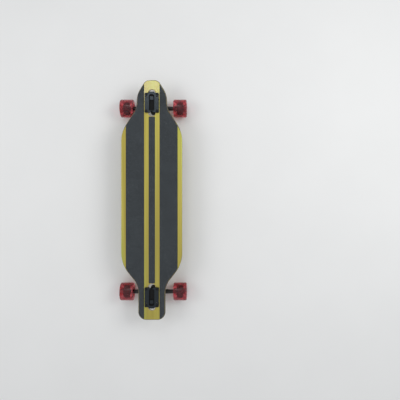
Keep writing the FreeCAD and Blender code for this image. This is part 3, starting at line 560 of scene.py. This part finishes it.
    def inked(
        self,
        tree: bpy.types.NodeTree,
        along: bpy.types.NodeSocket,
        across: bpy.types.NodeSocket,
        facing: bpy.types.NodeSocket,
    ) -> bpy.types.NodeSocket:
        """Draws nested diamonds on the middle of the underside.

        Args:
            tree: The deck's node tree.
            along: Distance from the middle along the board.
            across: Distance from the middle across the board.
            facing: How far the surface faces up.

        Returns:
            1 where the print is, and 0 elsewhere.
        """
        long_share = add_node(
            tree, "ShaderNodeMath", {"operation": "DIVIDE", 1: self.print_length_mm / 2 * MM}, {0: along}
        )
        reach = add_node(
            tree,
            "ShaderNodeMath",
            {"operation": "MULTIPLY_ADD", 1: 1 / (self.print_width_mm / 2 * MM)},
            {0: across, 2: long_share.outputs[0]},
        ).outputs[0]
        count = add_node(tree, "ShaderNodeMath", {"operation": "MULTIPLY", 1: self.print_rings}, {0: reach})
        phase = add_node(tree, "ShaderNodeMath", {"operation": "FRACT"}, {0: count.outputs[0]})
        ring = add_node(
            tree, "ShaderNodeMath", {"operation": "GREATER_THAN", 1: self.print_gap}, {0: phase.outputs[0]}
        )
        inside = add_node(tree, "ShaderNodeMath", {"operation": "LESS_THAN", 1: 1.0}, {0: reach})
        below = add_node(
            tree, "ShaderNodeMath", {"operation": "LESS_THAN", 1: self.print_facing}, {0: facing}
        )
        shape = add_node(
            tree, "ShaderNodeMath", {"operation": "MULTIPLY"}, {0: ring.outputs[0], 1: inside.outputs[0]}
        )
        return add_node(
            tree, "ShaderNodeMath", {"operation": "MULTIPLY"}, {0: shape.outputs[0], 1: below.outputs[0]}
        ).outputs[0]

    def rim(
        self, tree: bpy.types.NodeTree, along: bpy.types.NodeSocket, facing: bpy.types.NodeSocket
    ) -> bpy.types.NodeSocket:
        """Finds the bare rim: only its middle on the rails, and all its rounding towards nose and tail.

        Args:
            tree: The deck's node tree.
            along: Distance from the middle along the board.
            facing: How far the surface faces up.

        Returns:
            1 on the rim and the cutouts' walls, and 0 on the top and the underside.
        """
        level = add_node(tree, "ShaderNodeMath", {"operation": "ABSOLUTE"}, {0: facing})
        limit = add_node(
            tree,
            "ShaderNodeMapRange",
            {
                "From Min": (self.rail_half_length_mm - self.rail_blend_mm) * MM,
                "From Max": (self.rail_half_length_mm + self.rail_blend_mm) * MM,
                "To Min": self.rail_rim,
                "To Max": self.end_rim,
            },
            {"Value": along},
        )
        return add_node(
            tree, "ShaderNodeMath", {"operation": "LESS_THAN"}, {0: level.outputs[0], 1: limit.outputs[0]}
        ).outputs[0]

    def plies(
        self,
        tree: bpy.types.NodeTree,
        along: bpy.types.NodeSocket,
        across: bpy.types.NodeSocket,
        height: bpy.types.NodeSocket,
    ) -> bpy.types.NodeSocket:
        """Draws the layers of veneer, which rise with the rails: stained outside, raw in the cutouts.

        Args:
            tree: The deck's node tree.
            along: Distance from the middle along the board.
            across: Distance from the middle across the board.
            height: Height above the floor.

        Returns:
            The colour of the layers.
        """
        ramp = add_node(
            tree,
            "ShaderNodeMath",
            {"operation": "MULTIPLY_ADD", 1: self.rise_slope, 2: -self.rise_slope * self.rise_start_mm * MM},
            {0: across},
        )
        rise = add_node(
            tree,
            "ShaderNodeMath",
            {"operation": "SMOOTH_MAX", 1: 0.0, 2: self.rise_blend_mm * MM},
            {0: ramp.outputs[0]},
        )
        level = add_node(tree, "ShaderNodeMath", {"operation": "SUBTRACT"}, {0: height, 1: rise.outputs[0]})
        count = add_node(
            tree, "ShaderNodeMath", {"operation": "DIVIDE", 1: 2 * self.ply_mm * MM}, {0: level.outputs[0]}
        )
        phase = add_node(tree, "ShaderNodeMath", {"operation": "FRACT"}, {0: count.outputs[0]})
        layer = add_node(
            tree, "ShaderNodeMath", {"operation": "GREATER_THAN", 1: 0.5}, {0: phase.outputs[0]}
        ).outputs[0]
        offset = add_node(
            tree, "ShaderNodeMath", {"operation": "SUBTRACT", 1: self.cutout_place_mm * MM}, {0: along}
        )
        far = add_node(tree, "ShaderNodeMath", {"operation": "ABSOLUTE"}, {0: offset.outputs[0]})
        near = add_node(
            tree,
            "ShaderNodeMath",
            {"operation": "LESS_THAN", 1: self.cutout_half_length_mm * MM},
            {0: far.outputs[0]},
        )
        narrow = add_node(
            tree, "ShaderNodeMath", {"operation": "LESS_THAN", 1: self.cutout_half_width_mm * MM}, {0: across}
        )
        cutout = add_node(
            tree, "ShaderNodeMath", {"operation": "MULTIPLY"}, {0: near.outputs[0], 1: narrow.outputs[0]}
        )
        stained = add_node(
            tree,
            "ShaderNodeMix",
            {"data_type": "RGBA", COLOUR_A: linear(self.stain_dark), COLOUR_B: linear(self.stain_pale)},
            {MIX_SHARE: layer},
        )
        raw = add_node(
            tree,
            "ShaderNodeMix",
            {"data_type": "RGBA", COLOUR_A: linear(self.raw_dark), COLOUR_B: linear(self.raw_pale)},
            {MIX_SHARE: layer},
        )
        return add_node(
            tree,
            "ShaderNodeMix",
            {"data_type": "RGBA"},
            {
                MIX_SHARE: cutout.outputs[0],
                COLOUR_A: stained.outputs[COLOUR_OUT],
                COLOUR_B: raw.outputs[COLOUR_OUT],
            },
        ).outputs[COLOUR_OUT]


# Lacquer with metal flake, so it mirrors softly; the plies under it only show where it is cut
GOLD_DECK = LacqueredMaple(
    name="gold_lacquer_on_maple",
    colour="#C4B652",
    roughness=0.48,
    metallic=0.92,
)
# Grit scatters light, so it has no sheen and stays dark from every side
GRIT = GritSheet(
    name="silicon_carbide_grit_sheet",
    colour="#272B2E",
    roughness=0.93,
)
# Sand-cast, then dipped black: satin, with the skin of the mould
BLACK_CASTING = GrainedFinish(
    name="black_coated_cast_aluminium",
    colour="#1B1C1D",
    roughness=0.3,
    metallic=0.2,
    shade="#121213",
    patch_mm=24.0,
    grain_mm=0.9,
    grain_depth_mm=0.03,
    roughness_spread=0.06,
)
# The same casting with a dull dip, darker than the hanger, and painted lighter satin metal on its top faces:
# a painted reflection there, and painted shade in the channel below
BASEPLATE_CASTING = RubbedCasting(
    name="black_coated_baseplate_aluminium",
    colour="#101112",
    roughness=0.7,
    metallic=0.0,
    shade="#0B0B0C",
    patch_mm=24.0,
    grain_mm=0.9,
    grain_depth_mm=0.05,
    roughness_spread=0.08,
)
# Cast in an open mould and dyed red: a satin skin, with light inside
RED_URETHANE = CastUrethane(
    name="red_cast_urethane",
    colour="#E86E78",
    roughness=0.26,
    metallic=0.0,
    shade="#E05C67",
    patch_mm=22.0,
    grain_mm=2.5,
    grain_depth_mm=0.003,
    roughness_spread=0.04,
    transmission=0.94,
    ior=1.36,
)
# Pressed urethane, firm and a little waxy
BUSHING_URETHANE = GrainedFinish(
    name="red_bushing_urethane",
    colour="#C2303A",
    roughness=0.36,
    metallic=0.0,
    shade="#A52029",
    patch_mm=9.0,
    grain_mm=0.6,
    grain_depth_mm=0.03,
    roughness_spread=0.08,
)
# Injection-moulded and matt
CORE_PLASTIC = GrainedFinish(
    name="dark_moulded_nylon",
    colour="#241C1C",
    roughness=0.6,
    metallic=0.0,
    shade="#181313",
    patch_mm=12.0,
    grain_mm=0.7,
    grain_depth_mm=0.03,
    roughness_spread=0.1,
)
CUP_PLASTIC = GrainedFinish(
    name="black_moulded_urethane",
    colour="#1C1C1C",
    roughness=0.55,
    metallic=0.0,
    shade="#121212",
    patch_mm=8.0,
    grain_mm=0.6,
    grain_depth_mm=0.02,
    roughness_spread=0.1,
)
# Zinc-plated: pale grey, a little cloudy
ZINC_STEEL = GrainedFinish(
    name="zinc_plated_steel",
    colour="#B4B8BB",
    roughness=0.32,
    metallic=1.0,
    shade="#8E9396",
    patch_mm=6.0,
    grain_mm=0.5,
    grain_depth_mm=0.02,
    roughness_spread=0.1,
)
# Blackened in hot oil: dark with worn, brighter spots
BLACK_STEEL = GrainedFinish(
    name="black_oxide_steel",
    colour="#4A4D50",
    roughness=0.36,
    metallic=0.9,
    shade="#1B1C1E",
    patch_mm=5.0,
    grain_mm=0.5,
    grain_depth_mm=0.02,
    roughness_spread=0.1,
)
# Black oxide that is still new: deep black, with little sheen
BLACK_BOLTS = GrainedFinish(
    name="black_oxide_bolts",
    colour="#1A1B1C",
    roughness=0.45,
    metallic=0.5,
    shade="#0D0D0E",
    patch_mm=5.0,
    grain_mm=0.5,
    grain_depth_mm=0.02,
    roughness_spread=0.1,
)
# Ground and polished
BEARING_STEEL = GrainedFinish(
    name="polished_bearing_steel",
    colour="#C6C8CA",
    roughness=0.2,
    metallic=1.0,
    shade="#A6A9AC",
    patch_mm=4.0,
    grain_mm=0.4,
    grain_depth_mm=0.01,
    roughness_spread=0.06,
)
CAGE_BRASS = GrainedFinish(
    name="pressed_brass",
    colour="#B79A52",
    roughness=0.34,
    metallic=1.0,
    shade="#94793A",
    patch_mm=4.0,
    grain_mm=0.4,
    grain_depth_mm=0.02,
    roughness_spread=0.08,
)
# Uncoated paper from a roll: pale and matt
FLOOR_PAPER = FloorPaper(
    name="pale_floor_paper",
    colour="#E6E6E4",
    roughness=0.9,
    metallic=0.0,
    shade="#E0E0DE",
    patch_mm=300.0,
    grain_mm=4.0,
    grain_depth_mm=0.02,
    roughness_spread=0.04,
)


def dress(node: bpy.types.Object, finish: Finish) -> None:
    """Gives a frame node its finish.

    Args:
        node: The node's object, whose mesh stays as it is.
        finish: The finish to show.
    """
    material = finish.material()
    if not node.material_slots:
        node.data.materials.append(material)
    for slot in node.material_slots:
        slot.material = material
    LOG.info("%s is dressed in %s", node.name, finish.name)


def piece_from(shape: bmesh.types.BMesh, name: str, finish: Finish, crease: float) -> bpy.types.Object:
    """Makes a finished piece of a shape whose place is in its mesh.

    Args:
        shape: The shape, which is used up.
        name: The piece's name.
        finish: The finish to show.
        crease: The angle in degrees above which an edge stays sharp.

    Returns:
        The piece's object.
    """
    bmesh.ops.remove_doubles(shape, verts=shape.verts, dist=WELD_DISTANCE)
    bmesh.ops.recalc_face_normals(shape, faces=shape.faces)
    mesh = bpy.data.meshes.new(name)
    shape.to_mesh(mesh)
    shape.free()
    mesh.shade_smooth()
    mesh.set_sharp_from_angle(angle=math.radians(crease))
    mesh.materials.append(finish.material())
    made = bpy.data.objects.new(name, mesh)
    bpy.context.scene.collection.objects.link(made)
    LOG.info("%s is built", name)
    return made


def turned(corners: list[tuple[float, float, float]], steps: int) -> bmesh.types.BMesh:
    """Turns a closed outline about Z.

    Args:
        corners: Radius, height and rounding of each corner, in millimetres.
        steps: How many sides the turned shape has.

    Returns:
        The closed shape, in metres.
    """
    shape = bmesh.new()
    points = [shape.verts.new((radius * MM, 0.0, height * MM)) for radius, height, _ in corners]
    for first, second in zip(points, points[1:] + points[:1]):
        shape.edges.new((first, second))
    for point, (_, _, rounding) in zip(points, corners):
        if rounding:
            bmesh.ops.bevel(
                shape,
                geom=[point],
                offset=rounding * MM,
                offset_type="OFFSET",
                affect="VERTICES",
                segments=ROUNDING_STEPS,
                profile=0.5,
                material=-1,
            )
    bmesh.ops.spin(
        shape,
        geom=[*shape.verts, *shape.edges],
        cent=(0.0, 0.0, 0.0),
        axis=(0.0, 0.0, 1.0),
        angle=math.tau,
        steps=steps,
        use_merge=True,
    )
    return shape


@dataclass
class Board:
    """The deck and its grip tape, which the frame shapes and the finishes dress."""

    nodes: dict[str, bpy.types.Object]

    def build(self) -> None:
        """Dresses the deck and the three pieces of grip tape."""
        dress(self.nodes["deck"], GOLD_DECK)
        for name in ("griptape_left", "griptape_right", "griptape_center"):
            dress(self.nodes[name], GRIT)


@dataclass
class Wheel:
    """One wheel: a cast tyre round the frame's core and bearings. Sizes are in millimetres."""

    end: End
    side: Side
    nodes: dict[str, bpy.types.Object]
    lip_rounding: float = 4.5
    mouth_radius: float = 22.0
    mouth_rounding: float = 3.0
    core_radius: float = 14.5
    core_width: float = 25.5
    crown_radius: float = 18.6
    crown_width: float = 14.0
    # The tyre reaches this far into the core, as one casting does
    core_bond: float = 0.15
    tyre_sides: int = 96

    @property
    def name(self) -> str:
        """The start of the names of this wheel's pieces."""
        return f"{self.end.label}_{self.side.label}"

    def build(self) -> None:
        """Builds the tyre and dresses what turns inside it."""
        self.build_tyre()
        dress(self.nodes[f"{self.name}_core"], CORE_PLASTIC)
        dress(self.nodes[f"{self.name}_bearing_cages"], CAGE_BRASS)
        for kind in ("outer_rings", "balls", "shields"):
            dress(self.nodes[f"{self.name}_bearing_{kind}"], BEARING_STEEL)

    def build_tyre(self) -> None:
        """Turns the tyre to the frame's size, cast onto the core, so no air dims the core behind it."""
        node = f"{self.name}_tyre"
        low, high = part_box(node)
        radius = (high.z - low.z) / 2 / MM
        face = (high.y - low.y) / 2 / MM
        edge = self.core_width / 2
        crown = self.crown_width / 2
        shape = turned(
            [
                (self.core_radius - self.core_bond, -edge, 0.0),
                (self.crown_radius - self.core_bond, -crown, 0.0),
                (self.crown_radius - self.core_bond, crown, 0.0),
                (self.core_radius - self.core_bond, edge, 0.0),
                (self.mouth_radius, face, self.mouth_rounding),
                (radius, face, self.lip_rounding),
                (radius, -face, self.lip_rounding),
                (self.mouth_radius, -face, self.mouth_rounding),
            ],
            self.tyre_sides,
        )
        turn = Matrix.Rotation(math.radians(90), 4, "X")
        bmesh.ops.transform(shape, matrix=Matrix.Translation((low + high) / 2) @ turn, verts=shape.verts)
        tyre = piece_from(shape, f"{self.name}_urethane", RED_URETHANE, crease=35)
        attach(tyre, f"{self.name}_wheel")
        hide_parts(node)


@dataclass
class Truck:
    """One truck: castings and hardware from the frame, and turned bushings. Sizes are in millimetres."""

    end: End
    nodes: dict[str, bpy.types.Object]
    steer: dict[str, Any]
    ring_web: float = 7.0
    bushing_radius: float = 12.0
    bushing_hole: float = 5.1
    board_height: float = 16.0
    road_height: float = 14.0
    tip_radius: float = 9.5
    rim_rounding: float = 1.3
    bushing_sides: int = 48
    # Rows of points along a bushing's side
    bushing_rows: int = 6

    def build(self) -> None:
        """Builds the bushings and dresses the castings and the hardware."""
        self.build_bushings()
        finishes = {
            "baseplate": BASEPLATE_CASTING,
            "hanger": BLACK_CASTING,
            "pivot_cup": CUP_PLASTIC,
            "kingpin": BLACK_STEEL,
            "kingpin_nut": BLACK_STEEL,
            "bushing_washers": ZINC_STEEL,
            "axle": ZINC_STEEL,
            "axle_nuts": ZINC_STEEL,
            "speed_rings": ZINC_STEEL,
            "bearing_spacers": ZINC_STEEL,
            "bearing_inner_rings": BEARING_STEEL,
            "mounting_bolts": BLACK_BOLTS,
            "mounting_nuts": BLACK_STEEL,
        }
        for piece, finish in finishes.items():
            dress(self.nodes[f"{self.end.label}_{piece}"], finish)

    def build_bushings(self) -> None:
        """Turns the barrel above the hanger's ring and the cone below it."""
        seat = self.ring_web / 2
        board_top = seat + self.board_height
        road_end = seat + self.road_height
        self.build_bushing("boardside", -seat, -board_top, self.bushing_radius)
        self.build_bushing("roadside", seat, road_end, self.tip_radius)

    def build_bushing(self, name: str, seat: float, far: float, far_radius: float) -> None:
        """Turns one bushing with rounded rims, between the washer and the hanger.

        Args:
            name: Which of the two bushings it is.
            seat: Its end at the hanger's ring, along the kingpin.
            far: Its end at the washer, along the kingpin.
            far_radius: Its radius at the washer.
        """
        node = f"{self.end.label}_bushing_{name}"
        place = self.kingpin_frame()
        outer = self.bushing_radius
        rows = self.bushing_rows
        side = [
            (outer + (far_radius - outer) * row / rows, seat + (far - seat) * row / rows, 0.0)
            for row in range(1, rows)
        ]
        shape = turned(
            [
                (self.bushing_hole, seat, 0.0),
                (outer, seat, self.rim_rounding),
                *side,
                (far_radius, far, self.rim_rounding),
                (self.bushing_hole, far, 0.0),
            ],
            self.bushing_sides,
        )
        bmesh.ops.transform(shape, matrix=place, verts=shape.verts)
        bushing = piece_from(shape, f"{self.end.label}_urethane_{name}", BUSHING_URETHANE, crease=40)
        f"{self.end.label}_hanger"
        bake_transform(bushing)
        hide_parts(node)

    def kingpin_frame(self) -> Matrix:
        """Places z along the kingpin towards its nut, from the middle of the hanger's ring.

        Returns:
            The matrix from the kingpin's own frame to the board's.
        """
        axis = Vector(self.steer["axis"])
        kingpin = Vector((self.end.value * axis.z, 0.0, -abs(axis.x))).normalized()
        turn = Vector((0.0, 0.0, 1.0)).rotation_difference(kingpin).to_matrix().to_4x4()
        return Matrix.Translation(self.steer["pos_m"]) @ turn


@dataclass(frozen=True)
class SoftBox:
    """A square studio lamp that faces a point. Sizes are in metres, power in watts."""

    name: str
    place: tuple[float, float, float]
    aim: tuple[float, float, float]
    width: float
    power: float

    def build(self) -> None:
        """Hangs the lamp."""
        lamp = bpy.data.lights.new(self.name, "AREA")
        lamp.shape = "SQUARE"
        lamp.size = self.width
        lamp.energy = self.power
        hung = bpy.data.objects.new(self.name, lamp)
        hung.location = self.place
        hung.rotation_mode = "QUATERNION"
        hung.rotation_quaternion = (Vector(self.aim) - Vector(self.place)).to_track_quat("-Z", "Y")
        bpy.context.scene.collection.objects.link(hung)


@dataclass
class Studio:
    """The pale floor, the soft light and the camera above. Sizes are in metres, angles in degrees."""

    floor_width: float = 9.0
    daylight: float = 0.69
    camera_height: float = 1.56
    camera_side: float = -0.186
    view_angle: float = 55.7

    def build(self) -> None:
        """Sets up the floor, the lamps, the sky and the camera."""
        bpy.context.scene.view_settings.view_transform = "Standard"
        self.build_floor()
        self.build_sky()
        # The first lamp mirrors in the gold of the nose; the strongest is on the right, towards the nose
        for lamp in (
            SoftBox("nose_softbox", place=(1.12, 0.25, 1.9), aim=(0.4, 0.0, 0.1), width=0.42, power=3.0),
            SoftBox("left_softbox", place=(0.2, 1.5, 1.7), aim=(0.0, 0.0, 0.1), width=1.0, power=9.0),
            SoftBox("right_softbox", place=(0.5, -1.5, 1.6), aim=(0.0, 0.0, 0.1), width=1.0, power=14.5),
        ):
            lamp.build()
        self.build_camera()

    def build_floor(self) -> None:
        """Lays a plain sheet of pale paper, which isn't part of the board."""
        shape = bmesh.new()
        bmesh.ops.create_grid(shape, x_segments=1, y_segments=1, size=self.floor_width / 2)
        floor = piece_from(shape, "floor", FLOOR_PAPER, crease=30)

    def build_sky(self) -> None:
        """Fills the room with even, slightly cool light."""
        world = bpy.data.worlds.new("room")
        bpy.context.scene.world = world
        world.use_nodes = True
        sky = world.node_tree.nodes["Background"]
        sky.inputs["Color"].default_value = linear("#F4F6FA")
        sky.inputs["Strength"].default_value = self.daylight

    def build_camera(self) -> None:
        """Hangs the camera on the board's right, to look straight down with the nose at the top."""
        lens = bpy.data.cameras.new("camera")
        lens.angle = math.radians(self.view_angle)
        lens.dof.use_dof = False
        camera = bpy.data.objects.new("camera", lens)
        camera.location = (0.0, self.camera_side, self.camera_height)
        camera.rotation_euler = (0.0, 0.0, math.radians(-90))
        bpy.context.scene.collection.objects.link(camera)
        bpy.context.scene.camera = camera


def main() -> None:
    """Builds the board over its frame, and the studio round it."""
    logging.basicConfig(level=logging.INFO, format="%(name)s: %(message)s")
    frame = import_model()
    nodes = frame["nodes"]
    joints = {joint["name"]: joint for joint in frame["joints"]}
    Board(nodes).build()
    for end in End:
        Truck(end, nodes, joints[f"{end.label}_steer"]).build()
        for side in Side:
            Wheel(end, side, nodes).build()
    Studio().build()


if __name__ == "__main__":
    main()
